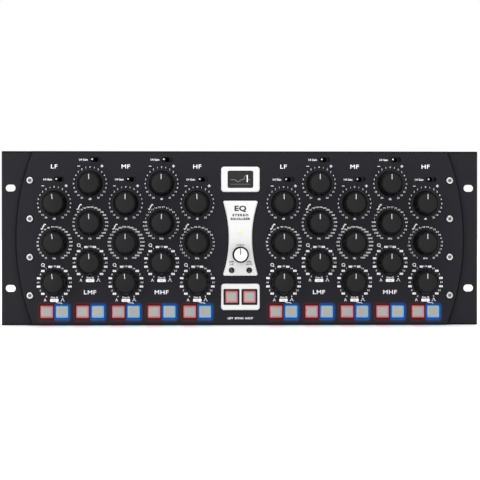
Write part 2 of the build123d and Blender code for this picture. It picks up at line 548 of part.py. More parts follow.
# ================================================================ chassis tray
corners = [(sx, sy) for sx in (-1, 1) for sy in (-1, 1)]
main_standoffs = [
    (MAIN_BOARD_X + sx * MAIN_HOLE_DX, main_y + sy * (main_l / 2 - MAIN_HOLE_INSET)) for sx, sy in corners
]
power_standoffs = [
    (POWER_BOARD_X + sx * POWER_HOLE_DX, board_y + POWER_BOARD_SET + sy * POWER_HOLE_DY)
    for sx, sy in corners
]
standoff_spots = main_standoffs + power_standoffs
case_y = (BACK_Y + REAR_Y) / 2
foot_spots = [(sx * FOOT_X, case_y + sy * FOOT_DY) for sx, sy in corners]
cover_screw_y = [BACK_Y + CASE_D * (i + 0.5) / COVER_SCREWS for i in range(COVER_SCREWS)]
cover_screw_z = CASE_Z1 - SHEET - COVER_SCREW_DROP
rear_screw_spots = [
    (sx * REAR_SCREW_X, MID_Z + row * REAR_SCREW_PITCH) for sx in (-1, 1) for row in (-1, 0, 1)
]
wall_h = CASE_Z1 - SHEET - CASE_Z0
with BuildPart() as chassis_tray:
    with BuildSketch(Plane.XY.offset(CASE_Z0)):
        with Locations((0, case_y - SHEET / 2)):
            Rectangle(CASE_W, CASE_D - SHEET)
    extrude(amount=wall_h)
    with BuildSketch(Plane.XY.offset(CASE_Z0 + SHEET)):
        with Locations((0, case_y - SHEET / 2)):
            Rectangle(CASE_W - 2 * SHEET, CASE_D - SHEET)
    extrude(amount=wall_h, mode=Mode.SUBTRACT)
    # folded lower corners
    folds = chassis_tray.edges().filter_by(Axis.Y).group_by(Axis.Z)
    fillet(folds[0], BEND_R)
    at_floor = (tray_floor - SHEET / 2, tray_floor + SHEET / 2)
    inner_folds = chassis_tray.edges().filter_by(Axis.Y).filter_by_position(Axis.Z, *at_floor)
    fillet(inner_folds, BEND_R - SHEET)
    # inward flanges at the front and the rear of the side walls
    for flange_y in (BACK_Y, REAR_Y - SHEET - SHEET):
        with BuildSketch(Plane.XY.offset(CASE_Z0)):
            with Locations(*[(sx * (CASE_W - FLANGE) / 2, flange_y + SHEET / 2) for sx in (-1, 1)]):
                Rectangle(FLANGE, SHEET)
        extrude(amount=wall_h)
    # embossed feet
    with BuildSketch(Plane.XY):
        with Locations(*foot_spots):
            Circle(FOOT_R)
    extrude(amount=CASE_Z0)
    with BuildSketch(Plane.XY.offset(SHEET)):
        with Locations(*foot_spots):
            Circle(FOOT_POCKET_R)
    extrude(amount=CASE_Z0, mode=Mode.SUBTRACT)
    # holes: front screws, rear screws, cover screws, transformer bolt
    with BuildSketch(face_plane(0, 0)):
        with Locations(*screw_spots):
            Circle(SCREW_R + RUNNING_GAP)
    extrude(amount=-PANEL_T - 2 * SHEET, mode=Mode.SUBTRACT)
    with BuildSketch(rear_plane(0, 0)):
        with Locations(*rear_screw_spots):
            Circle(SMALL_TAP_R)
    extrude(amount=-3 * SHEET, mode=Mode.SUBTRACT)
    with BuildSketch(Plane.YZ.offset(-CASE_W / 2)):
        with Locations(*[(y, cover_screw_z) for y in cover_screw_y]):
            Circle(SMALL_TAP_R)
    extrude(amount=CASE_W, mode=Mode.SUBTRACT)
    with BuildSketch(Plane.XY.offset(CASE_Z0)):
        with Locations((TOROID_X, TOROID_Y)):
            Circle(BOLT_HOLE_R)
    extrude(amount=SHEET, mode=Mode.SUBTRACT)
save(chassis_tray, "chassis_tray")

# ================================================================ top cover
with BuildPart() as top_cover:
    with BuildSketch(Plane.XY.offset(CASE_Z1 - SHEET)):
        with Locations((0, case_y)):
            Rectangle(CASE_W, CASE_D)
    extrude(amount=SHEET)
    long_edges = top_cover.edges().filter_by(Axis.Y).group_by(Axis.Z)[-1]
    fillet(long_edges, COVER_ROUND)
    lip_x = CASE_W / 2 - 1.5 * SHEET - LIP_GAP
    with BuildSketch(Plane.XY.offset(CASE_Z1 - SHEET)):
        with Locations(*[(sx * lip_x, case_y) for sx in (-1, 1)]):
            Rectangle(SHEET, CASE_D - 4 * SHEET - LIP_SHORT)
    extrude(amount=-LIP_H)
    with BuildSketch(Plane.YZ.offset(-CASE_W / 2)):
        with Locations(*[(y, cover_screw_z) for y in cover_screw_y]):
            Circle(SMALL_TAP_R)
    extrude(amount=CASE_W, mode=Mode.SUBTRACT)
    # two fields of cooling slots
    with BuildSketch(Plane.XY.offset(CASE_Z1 - SHEET)):
        with Locations(*[(x, VENT_Y) for x in VENT_X]):
            with GridLocations(VENT_PITCH, VENT_ROW_PITCH, VENTS, VENT_ROWS):
                SlotOverall(VENT_L, VENT_W, rotation=90)
    extrude(amount=SHEET, mode=Mode.SUBTRACT)
save(top_cover, "top_cover")

# ================================================================ rear panel
mains_body_w, mains_body_h = MAINS_W - 2 * MAINS_SIDE, MAINS_H - 2 * MAINS_END
with BuildPart() as rear_panel:
    with BuildSketch(Plane.XZ.offset(-REAR_Y)):
        with Locations((0, (CASE_Z0 + CASE_Z1 - SHEET) / 2)):
            Rectangle(CASE_W, CASE_Z1 - SHEET - CASE_Z0)
        with Locations(*[(x, XLR_Z) for x in XLR_X.values()]):
            Circle(XLR_HOLE_R, mode=Mode.SUBTRACT)
            with Locations(*[(-sx, sz) for sx, sz in XLR_SCREWS]):
                Circle(SMALL_HOLE_R, mode=Mode.SUBTRACT)
        with Locations((MAINS_X, MAINS_Z)):
            Rectangle(mains_body_w + 2 * MAINS_EASE, mains_body_h + 2 * MAINS_EASE, mode=Mode.SUBTRACT)
            with Locations((0, -MAINS_SCREW_DZ), (0, MAINS_SCREW_DZ)):
                Circle(SMALL_HOLE_R, mode=Mode.SUBTRACT)
        with Locations(*rear_screw_spots):
            Circle(SMALL_HOLE_R, mode=Mode.SUBTRACT)
    extrude(amount=SHEET)
save(rear_panel, "rear_panel")

# ================================================================ audio connectors
with BuildPart() as xlr_connectors:
    for name, x in XLR_X.items():
        socket = name.startswith("in")
        mouth = rear_plane(x, XLR_Z)
        rim = mouth.offset(PLUG_REACH)
        with BuildSketch(mouth):
            RectangleRounded(XLR_FLANGE_W, XLR_FLANGE_H, XLR_CORNER)
            with Locations(*XLR_SCREWS):
                Circle(SMALL_HOLE_R, mode=Mode.SUBTRACT)
        extrude(amount=XLR_FLANGE_T)
        with BuildSketch(mouth):
            Circle(XLR_RIM_R)
        extrude(amount=PLUG_REACH)
        with BuildSketch(mouth):
            Circle(XLR_BODY_R)
        extrude(amount=-XLR_DEPTH)
        # the cup, open in a plug and a ring around the insert in a socket
        with BuildSketch(rim):
            Circle(XLR_CUP_R)
            if socket:
                Circle(XLR_CUP_R - XLR_RING, mode=Mode.SUBTRACT)
        extrude(amount=-XLR_CUP_DEEP, mode=Mode.SUBTRACT)
        if socket:
            with BuildSketch(rim):
                with PolarLocations(PIN_PCD_R, 3, start_angle=-30):
                    Circle(CONTACT_R)
            extrude(amount=-XLR_CUP_DEEP, mode=Mode.SUBTRACT)
        else:
            # pins pressed into the cup's floor
            floor = rim.offset(-XLR_CUP_DEEP)
            with BuildSketch(floor):
                with PolarLocations(PIN_PCD_R, 3, start_angle=30):
                    Circle(PIN_R + PRESS_GAP)
            extrude(amount=-PIN_ROOT, mode=Mode.SUBTRACT)
            with BuildSketch(floor.offset(PRESS_GAP - PIN_ROOT)):
                with PolarLocations(PIN_PCD_R, 3, start_angle=30):
                    Circle(PIN_R)
            extrude(amount=XLR_CUP_DEEP - TIP_SINK + PIN_ROOT)
save(xlr_connectors, "xlr_connectors")

# ================================================================ mains inlet and power rocker
rocker_y = REAR_Y + MAINS_FLANGE_T - ROCKER_SINK
rocker_z = MAINS_Z + ROCKER_DZ
mains = rear_plane(MAINS_X, MAINS_Z)
mains_front = mains.offset(MAINS_FLANGE_T)
with BuildPart() as mains_inlet:
    with BuildSketch(mains):
        RectangleRounded(MAINS_W, MAINS_H, MAINS_CORNER)
        with Locations((0, -MAINS_SCREW_DZ), (0, MAINS_SCREW_DZ)):
            Circle(SMALL_HOLE_R, mode=Mode.SUBTRACT)
    extrude(amount=MAINS_FLANGE_T)
    with BuildSketch(mains):
        Rectangle(mains_body_w, mains_body_h)
    extrude(amount=-MAINS_DEPTH)
    # fuse drawer front between the inlet and the switch
    with BuildSketch(mains_front):
        with Locations((0, FUSE_DZ)):
            RectangleRounded(FUSE_W, FUSE_H, FUSE_CORNER)
    extrude(amount=FUSE_T)
    # inlet cavity with its two cut corners, and three blades
    with BuildSketch(mains_front):
        with Locations((0, INLET_DZ)):
            inlet = Rectangle(INLET_W, INLET_H)
        chamfer(inlet.vertices().group_by(Axis.Y)[-1], INLET_CUT)
    extrude(amount=-INLET_DEEP, mode=Mode.SUBTRACT)
    with BuildSketch(mains_front.offset(-INLET_DEEP)):
        line, neutral = [(dx, INLET_DZ - BLADE_DZ) for dx in (-BLADE_DX, BLADE_DX)]
        with Locations(line, neutral, (0, INLET_DZ + BLADE_DZ)):
            Rectangle(BLADE_W, BLADE_H)
    extrude(amount=INLET_DEEP - TIP_SINK)
    # switch pocket and the pin that the rocker turns on
    with BuildSketch(mains_front):
        with Locations((0, ROCKER_DZ)):
            Rectangle(ROCKER_LEN + 2 * POCKET_GAP, 2 * (ROCKER_R + POCKET_GAP))
    extrude(amount=-POCKET_DEEP, mode=Mode.SUBTRACT)
    with BuildSketch(Plane.YZ.offset(MAINS_X - ROCKER_LEN / 2 - PIN_INSET)):
        with Locations((rocker_y, rocker_z)):
            Circle(ROCKER_PIN_R)
    extrude(amount=ROCKER_LEN + 2 * PIN_INSET)
save(mains_inlet, "mains_inlet")

with BuildPart() as power_rocker:
    crest = ROCKER_DISH + ROCKER_HALF * tan(radians(ROCKER_TILT))
    profile = [
        (ROCKER_BACK, -ROCKER_HALF), (crest, -ROCKER_HALF), (ROCKER_DISH, 0),
        (crest, ROCKER_HALF), (ROCKER_BACK, ROCKER_HALF),
    ]
    with BuildSketch(Plane.YZ.offset(MAINS_X - ROCKER_LEN / 2)):
        with Locations(Location((rocker_y, rocker_z, 0), (0, 0, ROCKER_TILT))):
            Circle(ROCKER_R)
            Polygon(*profile, align=None, mode=Mode.INTERSECT)
            Circle(ROCKER_PIN_R + RUNNING_GAP, mode=Mode.SUBTRACT)
    extrude(amount=ROCKER_LEN)
save(power_rocker, "power_rocker")


# ================================================================ screws, studs and standoffs
def screws(plane, spots, length, out=1, head_r=SMALL_HEAD_R, head_h=SMALL_HEAD_H):
    """Round-headed screws in the open part: heads on the plane, shanks behind it; out=-1 flips them."""
    with BuildSketch(plane) as heads:
        with Locations(*spots):
            Circle(head_r)
    extrude(heads.sketch, amount=out * head_h)
    with BuildSketch(plane) as shanks:
        with Locations(*spots):
            Circle(SMALL_R)
    extrude(shanks.sketch, amount=-out * length)


with BuildPart() as fasteners:
    # silver socket-head screws that hold the front panel to the chassis
    head_seat = face_plane(0, 0, -SCREW_SINK)
    with BuildSketch(head_seat):
        with Locations(*screw_spots):
            Circle(SCREW_HEAD_R)
    extrude(amount=SCREW_HEAD_H)
    fillet(fasteners.edges().group_by(Axis.Y)[0], SCREW_HEAD_ROUND)
    with BuildSketch(head_seat.offset(SCREW_HEAD_H)):
        with Locations(*screw_spots):
            RegularPolygon(SCREW_HEX_AF / 2, 6, major_radius=False)
    extrude(amount=-SCREW_HEX_DEEP, mode=Mode.SUBTRACT)
    with BuildSketch(head_seat):
        with Locations(*screw_spots):
            Circle(SCREW_R)
    extrude(amount=-(PANEL_T + 5.0))
    # control board standoffs on the back of the panel, with their screws
    with BuildSketch(face_plane(0, 0, -PANEL_T)):
        with Locations(*CONTROL_BOARD_HOLES):
            Circle(STANDOFF_R)
    extrude(amount=-BOARD_SET)
    screws(face_plane(0, 0, -PANEL_T - BOARD_SET - BOARD_T), CONTROL_BOARD_HOLES, BOARD_SET + BOARD_T, -1)
    # standoffs under the two lying boards, with their screws
    with BuildSketch(Plane.XY.offset(tray_floor)):
        with Locations(*standoff_spots):
            Circle(STANDOFF_R)
    extrude(amount=MAIN_BOARD_Z - tray_floor)
    screws(board_top, standoff_spots, BOARD_T)
    # transformer bolt and its nut
    bolt_l = SHEET + PAD_T + TOROID_H + WASHER_T
    with BuildSketch(Plane.XY.offset(CASE_Z0)):
        with Locations((TOROID_X, TOROID_Y)):
            Circle(BOLT_R)
    extrude(amount=bolt_l)
    with BuildSketch(Plane.XY.offset(CASE_Z0 + bolt_l)):
        with Locations((TOROID_X, TOROID_Y)):
            RegularPolygon(BOLT_NUT_AF / 2, 6, major_radius=False)
    extrude(amount=BOLT_NUT_T)
    # rear panel, connectors and mains inlet
    screws(rear_plane(0, 0), rear_screw_spots, SMALL_L)
    for x in XLR_X.values():
        screws(rear_plane(x, XLR_Z, XLR_FLANGE_T), XLR_SCREWS, XLR_SCREW_L, 1, XLR_HEAD_R, XLR_HEAD_H)
    mains_screws = [(0, -MAINS_SCREW_DZ), (0, MAINS_SCREW_DZ)]
    screws(mains_front, mains_screws, XLR_SCREW_L, 1, MAINS_HEAD_R, MAINS_HEAD_H)
    # cover screws through the side walls
    for side in (-1, 1):
        wall = Plane(origin=(side * CASE_W / 2, 0, 0), x_dir=(0, 1, 0), z_dir=(side, 0, 0))
        screws(wall, [(y, side * cover_screw_z) for y in cover_screw_y], SMALL_L)
save(fasteners, "fasteners")
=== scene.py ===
"""Looks of a four-unit rack equalizer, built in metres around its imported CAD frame."""

import json
import math

import bmesh
import bpy
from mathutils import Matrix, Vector


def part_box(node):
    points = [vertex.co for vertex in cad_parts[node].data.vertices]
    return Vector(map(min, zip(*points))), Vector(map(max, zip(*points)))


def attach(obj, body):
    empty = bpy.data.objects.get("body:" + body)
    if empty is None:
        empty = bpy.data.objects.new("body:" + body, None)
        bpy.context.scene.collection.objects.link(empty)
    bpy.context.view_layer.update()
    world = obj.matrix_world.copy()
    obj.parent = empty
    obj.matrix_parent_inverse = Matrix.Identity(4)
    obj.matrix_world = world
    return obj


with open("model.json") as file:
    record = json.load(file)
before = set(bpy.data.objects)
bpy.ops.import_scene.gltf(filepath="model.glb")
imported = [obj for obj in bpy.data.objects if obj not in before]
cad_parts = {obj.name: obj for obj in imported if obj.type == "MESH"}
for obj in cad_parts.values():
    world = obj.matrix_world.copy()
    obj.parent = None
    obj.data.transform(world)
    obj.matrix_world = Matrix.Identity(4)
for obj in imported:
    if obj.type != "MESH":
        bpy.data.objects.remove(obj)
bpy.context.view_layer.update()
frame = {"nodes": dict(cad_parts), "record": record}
nodes = frame["nodes"]
MM = 0.001
ROOT = "chassis"

BANKS = ("left", "right")
BANDS = ("lf", "lmf", "mf", "mhf", "hf")


def middle(node):
    """Centre of a CAD node's box."""
    low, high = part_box(node)
    return (low + high) / 2


FACE_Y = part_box("front_panel")[0].y  # raised face of the front panel
PLATE_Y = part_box("trim_plates")[0].y  # front of the white pieces
MID_Z = middle("front_panel").z
PANEL_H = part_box("front_panel")[1].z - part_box("front_panel")[0].z
REAR_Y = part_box("rear_panel")[1].y


# ================================================================ node-material helpers
class Shader:
    """A Principled material and short ways to wire detail into it."""

    def __init__(self, name, **values):
        self.material = bpy.data.materials.new(name)
        self.material.use_nodes = True
        self.tree = self.material.node_tree
        self.bsdf = self.tree.nodes["Principled BSDF"]
        self.coords = self.tree.nodes.new("ShaderNodeTexCoord").outputs["Object"]
        for socket, value in values.items():
            self.set(socket.replace("_", " "), value)

    def set(self, socket, value):
        target = self.bsdf.inputs[socket]
        if isinstance(value, bpy.types.NodeSocket):
            self.tree.links.new(value, target)
        elif isinstance(value, tuple) and len(value) == 3 and len(target.default_value) == 4:
            target.default_value = (*value, 1)
        else:
            target.default_value = value

    def node(self, kind, inputs=(), **settings):
        made = self.tree.nodes.new(kind)
        for key, value in settings.items():
            setattr(made, key, value)
        for key, value in dict(inputs).items():
            if isinstance(value, bpy.types.NodeSocket):
                self.tree.links.new(value, made.inputs[key])
            else:
                made.inputs[key].default_value = value
        return made

    def noise(self, size, detail=2.0):
        """Noise with features about `size` metres across, 0 to 1."""
        inputs = {"Vector": self.coords, "Scale": 1 / size, "Detail": detail}
        return self.node("ShaderNodeTexNoise", inputs).outputs["Fac"]

    def ramp(self, fac, stops):
        """Colour ramp from (position, colour) stops."""
        ramp = self.node("ShaderNodeValToRGB", {"Fac": fac})
        elements = ramp.color_ramp.elements
        while len(elements) < len(stops):
            elements.new(0.5)
        for element, (position, colour) in zip(elements, stops):
            element.position = position
            element.color = (*colour, 1)
        return ramp.outputs["Color"]

    def spread(self, fac, low, high, start=0.3, end=0.7):
        """A number that goes from low to high as fac goes from start to end."""
        inputs = {"Value": fac, "From Min": start, "From Max": end, "To Min": low, "To Max": high}
        return self.node("ShaderNodeMapRange", inputs).outputs["Result"]

    def math(self, operation, a, b=0.0):
        return self.node("ShaderNodeMath", {0: a, 1: b}, operation=operation).outputs[0]

    def plus(self, a, b):
        return self.math("ADD", a, b)

    def minus(self, a, b):
        return self.math("SUBTRACT", a, b)

    def times(self, a, b):
        return self.math("MULTIPLY", a, b)

    def clamp(self, value, low, high):
        return self.math("MINIMUM", self.math("MAXIMUM", value, low), high)

    def bump(self, height, depth):
        """Bump of about `depth` metres."""
        made = self.node("ShaderNodeBump", {"Height": height, "Distance": depth, "Strength": 1.0})
        self.set("Normal", made.outputs["Normal"])

    def axis(self, name):
        """Object-space coordinate along one axis."""
        return self.node("ShaderNodeSeparateXYZ", {0: self.coords}).outputs[name]

    def facing(self, direction=(0, -1, 0)):
        """1 on faces that look along the direction, 0 on faces square to it."""
        normal = self.node("ShaderNodeNewGeometry").outputs["Normal"]
        return self.node("ShaderNodeVectorMath", {0: normal, 1: direction}, operation="DOT_PRODUCT").outputs["Value"]

    def mix(self, fac, first, second):
        """Colour that goes from first to second as fac goes from 0 to 1."""
        return self.node("ShaderNodeMix", {"Factor": fac, 6: first, 7: second}, data_type="RGBA").outputs[2]


PATCH = 0.02  # size of the uneven patches in a finish


def surface(name, dark, light, grain, rough=(0.4, 0.5), bump=0.00002, **values):
    """General finish: tone and gloss vary in patches, with a fine grain in the relief."""
    shader = Shader(name, **values)
    fine, broad = shader.noise(grain, 3.0), shader.noise(PATCH, 4.0)
    mixed = shader.plus(shader.times(fine, 0.5), shader.times(broad, 0.5))
    shader.tone = shader.ramp(mixed, [(0.35, dark), (0.65, light)])
    shader.set("Base Color", shader.tone)
    shader.set("Roughness", shader.spread(mixed, *rough))
    shader.bump(fine, bump)
    return shader


def shade(shader, fac, colour):
    """Paint a finish with another colour where fac nears 1."""
    shader.tone = shader.mix(fac, shader.tone, (*colour, 1))
    shader.set("Base Color", shader.tone)


COLUMN_PITCH = middle("left_lmf_q_knob").x - middle("left_lf_q_knob").x
ROW_PITCH = middle("left_lf_gain_knob").z - middle("left_lf_freq_knob").z
BUTTON_Z = middle("red_band_buttons").z
BUTTON_DX, WINDOW = 7.7 * MM, 14.4 * MM  # band buttons each side of their column; their windows
SPILL_CORNER = 1.6 * MM  # rounding of the light that spills past a window


def nearest_column(shader):
    """Number of the nearest control column, -2 to 2, and the sideways distance from it."""
    x = shader.axis("X")
    side = shader.math("SIGN", x)
    from_bank = shader.minus(x, shader.times(side, middle("right_mf_q_knob").x))
    column = shader.clamp(shader.math("ROUND", shader.math("DIVIDE", from_bank, COLUMN_PITCH)), -2.0, 2.0)
    return column, shader.minus(from_bank, shader.times(column, COLUMN_PITCH))


def column_offset(shader):
    """Sideways distance from the nearest control column."""
    return nearest_column(shader)[1]


def dome_height(shader, radius):
    """Height of a shallow dome centred on the nearest knob, 1 in its middle and 0 at the radius."""
    column, across = nearest_column(shader)
    odd = shader.math("MODULO", shader.math("ABSOLUTE", column), 2.0)
    top_row = middle("left_lf_gain_knob").z
    lift = shader.times(odd, middle("left_lmf_gain_knob").z - top_row)
    down = shader.minus(shader.minus(shader.axis("Z"), top_row), lift)
    row = shader.clamp(shader.math("ROUND", shader.math("DIVIDE", down, ROW_PITCH)), -2.0, 0.0)
    up = shader.minus(down, shader.times(row, ROW_PITCH))
    squares = shader.plus(shader.times(across, across), shader.times(up, up))
    return shader.spread(squares, 1.0, 0.0, 0.0, radius ** 2)


# ================================================================ materials
# black paint, with painted shade: darker on the faces that turn away from the front, and a painted dark line along
# the top and bottom edges
panel = surface("panel_paint", (0.0080, 0.0075, 0.0108), (0.0098, 0.0092, 0.0129), 0.35 * MM,
                rough=(0.50, 0.62), bump=0.00003, Specular_IOR_Level=0.15)
# painted shade on the faces that turn away from the front
shade(panel, panel.spread(panel.facing(), 1.0, 0.0, 0.55, 0.98), (0.0012, 0.0012, 0.0016))
# painted shade: a dark line along the top and bottom edges
from_middle = panel.math("ABSOLUTE", panel.minus(panel.axis("Z"), MID_Z))
painted_edge_shade = panel.spread(from_middle, 0.0, 0.95, PANEL_H / 2 - 2.2 * MM, PANEL_H / 2 - 1.6 * MM)
shade(panel, painted_edge_shade, (0.0006, 0.0006, 0.0007))
panel_paint = panel.material
case_paint = surface("case_paint", (0.016, 0.016, 0.017), (0.024, 0.024, 0.025), 0.7 * MM,
                     rough=(0.55, 0.70), bump=0.00008, Specular_IOR_Level=0.4).material
white_enamel = surface("white_enamel", (0.590, 0.590, 0.592), (0.625, 0.625, 0.627), 0.8 * MM,
                       rough=(0.28, 0.36), bump=0.000006, Coat_Weight=0.2).material

# knobs: a shallow crown on the top, and painted shade that turns the sides, the rim of the face and the skirt black
KNOB_DOME, DOME_R = 1.7 * MM, 9.5 * MM
knob = surface("knob_plastic", (0.0088, 0.0088, 0.0094), (0.0112, 0.0112, 0.0120), 0.25 * MM,
               rough=(0.50, 0.60), bump=0.00002, Specular_IOR_Level=0.12)
knob_side_shade = knob.spread(knob.facing(), 1.0, 0.0, 0.955, 0.998)
knob_skirt_shade = knob.spread(knob.axis("Y"), 0.0, 1.0, FACE_Y - 15.9 * MM, FACE_Y - 15.2 * MM)
knob_crown = dome_height(knob, DOME_R)
knob_rim_shade = knob.math("MAXIMUM", knob_side_shade, knob.spread(knob_crown, 1.0, 0.0, 0.03, 0.09))
# painted shade: the sides, the rim of the face and the skirt go black
shade(knob, knob.math("MAXIMUM", knob_rim_shade, knob_skirt_shade), (0.0003, 0.0003, 0.0003))
grain = knob.bsdf.inputs["Normal"].links[0].from_socket
domed = {"Height": knob_crown, "Distance": KNOB_DOME, "Strength": 1.0, "Normal": grain}
knob.set("Normal", knob.node("ShaderNodeBump", domed).outputs["Normal"])
knob_plastic = knob.material

pointer_paint = surface("pointer_paint", (0.42, 0.42, 0.41), (0.50, 0.50, 0.49), 0.3 * MM,
                        rough=(0.45, 0.6), bump=0.00001).material
white_ink = surface("white_ink", (0.80, 0.80, 0.82), (0.92, 0.92, 0.94), 0.2 * MM,
                    rough=(0.5, 0.65), bump=0.000004).material
grey_ink = surface("grey_ink", (0.030, 0.030, 0.034), (0.045, 0.045, 0.050), 0.2 * MM,
                   rough=(0.5, 0.65), bump=0.000004).material
black_ink = surface("black_ink", (0.004, 0.004, 0.0045), (0.008, 0.008, 0.0085), 0.2 * MM,
                    rough=(0.45, 0.6), bump=0.000004).material
# black of the painted shadow line along the raised middle's curved ends
painted_shadow_black = surface("painted_shadow_black", (0.0007, 0.0007, 0.0008), (0.0012, 0.0012, 0.0013), 0.2 * MM,
                      rough=(0.6, 0.7), bump=0.000004, Specular_IOR_Level=0.1).material
dark_acrylic = surface("dark_acrylic", (0.012, 0.012, 0.015), (0.017, 0.017, 0.020), 3 * MM,
                       rough=(0.18, 0.26), bump=0.000001, Specular_IOR_Level=0.25).material
display_ink = surface("display_ink", (0.20, 0.20, 0.20), (0.28, 0.28, 0.28), 0.3 * MM,
                      rough=(0.5, 0.6), bump=0.000004).material

# levers: bright chrome at the tip, with painted shade that darkens them towards the slot
chrome = surface("lever_chrome", (0.42, 0.42, 0.41), (0.54, 0.54, 0.53), 0.5 * MM,
                 rough=(0.12, 0.22), bump=0.000003, Metallic=1.0)
# painted shade towards the slot
shade(chrome, chrome.spread(chrome.axis("Y"), 0.0, 0.96, FACE_Y - 4.0 * MM, FACE_Y - 2.2 * MM), (0.02, 0.02, 0.02))
lever_chrome = chrome.material
lever_black = surface("lever_black", (0.060, 0.060, 0.060), (0.100, 0.100, 0.098), 0.5 * MM,
                      rough=(0.16, 0.28), bump=0.000003, Metallic=1.0).material

# screws: painted shade in the front ones' sockets
steel = surface("screw_steel", (0.52, 0.52, 0.505), (0.66, 0.66, 0.645), 0.4 * MM,
                rough=(0.28, 0.42), bump=0.00001, Metallic=1.0)
socket_shade = steel.spread(steel.axis("Y"), 0.0, 0.85, FACE_Y - 0.62 * MM, FACE_Y - 0.45 * MM)
near_front = steel.spread(steel.axis("Y"), 1.0, 0.0, FACE_Y + 1.0 * MM, FACE_Y + 2.0 * MM)
# painted shade deep in the sockets of the screws near the front
shade(steel, steel.times(socket_shade, near_front), (0.05, 0.05, 0.05))
screw_steel = steel.material

plated_steel = surface("plated_steel", (0.46, 0.46, 0.45), (0.60, 0.60, 0.58), 0.6 * MM,
                       rough=(0.30, 0.42), bump=0.00001, Metallic=1.0).material
nickel = surface("nickel", (0.42, 0.41, 0.39), (0.56, 0.55, 0.53), 0.5 * MM,
                 rough=(0.32, 0.45), bump=0.00002, Metallic=1.0).material
black_nylon = surface("black_nylon", (0.010, 0.010, 0.010), (0.018, 0.018, 0.018), 0.4 * MM,
                      rough=(0.45, 0.6), bump=0.00003).material
rocker_gloss = surface("rocker_gloss", (0.010, 0.010, 0.010), (0.016, 0.016, 0.016), 0.6 * MM,
                       rough=(0.18, 0.3), bump=0.00001).material
board_green = surface("board_green", (0.006, 0.060, 0.026), (0.012, 0.100, 0.045), 1.2 * MM,
                      rough=(0.3, 0.42), bump=0.00003).material
winding_tape = surface("winding_tape", (0.020, 0.020, 0.030), (0.050, 0.045, 0.030), 4 * MM,
                       rough=(0.2, 0.35), bump=0.0002).material


def cap_material(name, stops, sides, strength):
    """Lit cap: a grey plate on the flat front, and the cap's own light in the bevel and the sides, with painted
    shade that dims it by depth from the front.

    `sides` are the painted highlights that the bevel takes on its top, its right and its bottom.
    """
    shader = Shader(name, Roughness=0.35, Coat_Weight=0.15)
    flat = shader.spread(shader.facing(), 0.0, 1.0, 0.985, 0.995)
    front = shader.spread(shader.axis("Y"), 1.0, 0.0, FACE_Y - 0.5 * MM, FACE_Y - 0.45 * MM)
    plate = shader.times(flat, front)
    depth = shader.spread(shader.axis("Y"), 0.0, 1.0, FACE_Y - 0.8 * MM, FACE_Y + 1.6 * MM)
    wobble = shader.times(shader.minus(shader.noise(3 * MM), 0.5), 0.25)
    # the cap's light, with painted shade that dims it deeper in
    glow_and_painted_light = shader.ramp(shader.plus(depth, wobble), stops)
    # painted highlights on the bevel's top, right and bottom
    for direction, reach, painted_light_tint in zip(((0, 0, 1), (1, 0, 0), (0, 0, -1)), (0.24, 0.40, 0.28), sides):
        toward = shader.spread(shader.facing(direction), 0.0, 0.75, 0.12, 0.32)
        on_bevel = shader.times(toward, shader.spread(depth, 1.0, 0.0, reach - 0.12, reach))
        glow_and_painted_light = shader.mix(on_bevel, glow_and_painted_light, (*painted_light_tint, 1))
    grain = shader.ramp(shader.noise(0.5 * MM, 3.0), [(0.3, (0.272, 0.270, 0.255)), (0.7, (0.310, 0.306, 0.288))])
    shader.set("Base Color", shader.mix(plate, (0.06, 0.06, 0.06, 1), grain))
    shader.set("Emission Color", glow_and_painted_light)
    shader.set("Emission Strength", shader.times(shader.minus(1.0, plate), strength))
    return shader.material


CAP_LIGHT = 0.85
red_cap = cap_material("red_cap", [(0.0, (0.66, 0.28, 0.27)), (0.12, (0.58, 0.13, 0.13)),
                                   (0.22, (0.30, 0.018, 0.022)), (0.32, (0.15, 0.003, 0.005))],
                       [(0.50, 0.10, 0.075), (0.48, 0.19, 0.33), (0.46, 0.11, 0.11)], CAP_LIGHT)
blue_cap = cap_material("blue_cap", [(0.0, (0.30, 0.46, 0.56)), (0.12, (0.20, 0.36, 0.54)),
                                     (0.22, (0.03, 0.13, 0.40)), (0.32, (0.004, 0.06, 0.28))],
                        [(0.15, 0.48, 0.62), (0.10, 0.42, 0.66), (0.18, 0.36, 0.56)], CAP_LIGHT)


def glow_material(name, colour):
    """Painted light: a glowing ring that stands in for the light leaking round a cap, uneven as a moulded light
    guide is.
    """
    shader = Shader(name, Base_Color=(0.003, 0.003, 0.003), Roughness=0.6, Specular_IOR_Level=0.1,
                    Emission_Strength=1.0)
    dim = tuple(c * 0.6 for c in colour)
    shader.set("Emission Color", shader.ramp(shader.noise(4 * MM), [(0.3, dim), (0.7, colour)]))
    return shader.material


red_glow = glow_material("red_glow", (0.10, 0.0, 0.003))
dim_glow = glow_material("dim_glow", (0.030, 0.0, 0.001))
blue_glow = glow_material("blue_glow", (0.001, 0.060, 0.26))
lamp_lens = surface("lamp_lens", (0.60, 0.46, 0.12), (0.72, 0.58, 0.20), 0.6 * MM, rough=(0.15, 0.25),
                    bump=0.00001, Emission_Color=(1.0, 0.80, 0.34), Emission_Strength=0.42).material


